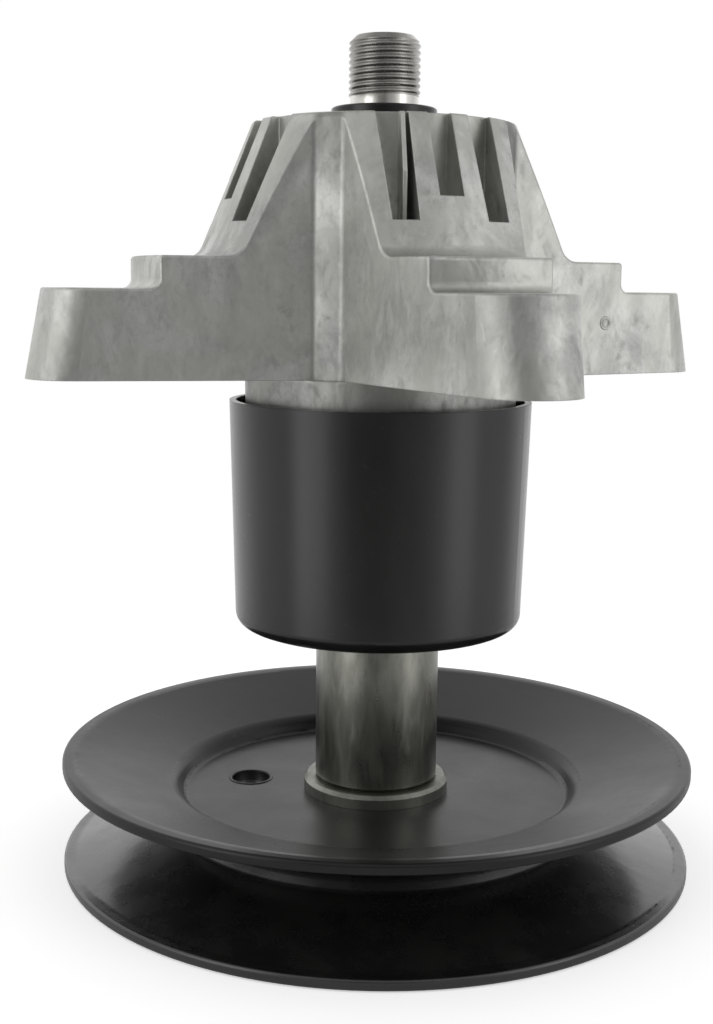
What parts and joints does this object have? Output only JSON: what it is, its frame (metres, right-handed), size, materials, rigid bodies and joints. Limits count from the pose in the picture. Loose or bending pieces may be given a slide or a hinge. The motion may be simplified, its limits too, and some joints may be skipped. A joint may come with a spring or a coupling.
{
  "type": "mower deck spindle",
  "caption": "Mower deck spindle: cast housing with four bolted arms round a bearing tower, a shaft threaded for the blade, a dust cup and a stamped belt pulley.",
  "frame": {"origin": "on the shaft's axis, at the plane of the pulley's lower rim on which the part stands", "axes": "+Z along the shaft towards the threaded blade end; the housing's four arms lie on the diagonals between +X and +Y"},
  "size_m": [0.146, 0.146, 0.187],
  "materials": {
    "cast_aluminium": "as-cast, dull silver grey",
    "turned_steel": "turned and ground",
    "black_ring": "black oxide",
    "cup_black": "semi-gloss black",
    "tube_steel": "dark oiled steel",
    "pulley_black": "satin black coat",
    "black_steel": "black phosphate",
    "zinc_steel": "bright zinc",
    "bearing_steel": "ground, bright",
    "ball_chrome": "polished",
    "cage_steel": "pressed sheet",
    "seal_rubber": "matte black",
    "spring_steel": "black phosphate"
  },
  "bodies": {
    "housing": {"spindle_housing": "cast_aluminium", "lower_bearing_outer_ring": "bearing_steel", "lower_bearing_bottom_seal": "seal_rubber", "lower_bearing_top_seal": "seal_rubber", "lower_snap_ring": "spring_steel", "upper_bearing_outer_ring": "bearing_steel", "upper_bearing_bottom_seal": "seal_rubber", "upper_bearing_top_seal": "seal_rubber", "upper_snap_ring": "spring_steel"},
    "rotor": {"spindle_shaft": "turned_steel", "blade_seat_ring": "black_ring", "bearing_spacer": "turned_steel", "cup_spacer": "turned_steel", "dust_cup": "cup_black", "pulley_spacer_tube": "tube_steel", "pulley_hub": "tube_steel", "pulley_upper_disc": "pulley_black", "pulley_lower_disc": "pulley_black", "pulley_washer": "black_steel", "pulley_nut": "zinc_steel", "lower_bearing_inner_ring": "bearing_steel", "upper_bearing_inner_ring": "bearing_steel"},
    "lower_ball_set": {"lower_bearing_balls": "ball_chrome", "lower_bearing_cage": "cage_steel"},
    "upper_ball_set": {"upper_bearing_balls": "ball_chrome", "upper_bearing_cage": "cage_steel"}
  },
  "joints": [
    {"name": "shaft_spin", "type": "hinge", "parent": "housing", "child": "rotor", "pos_m": [0, 0, 0.1205], "axis": [0, 0, 1], "continuous": true},
    {"name": "lower_cage_spin", "type": "hinge", "parent": "housing", "child": "lower_ball_set", "pos_m": [0, 0, 0.07], "axis": [0, 0, 1], "continuous": true},
    {"name": "upper_cage_spin", "type": "hinge", "parent": "housing", "child": "upper_ball_set", "pos_m": [0, 0, 0.157], "axis": [0, 0, 1], "continuous": true}
  ],
  "couplings": [
    {"joint": "lower_cage_spin", "follows": "shaft_spin", "ratio": 0.38149},
    {"joint": "upper_cage_spin", "follows": "shaft_spin", "ratio": 0.38149}
  ]
}
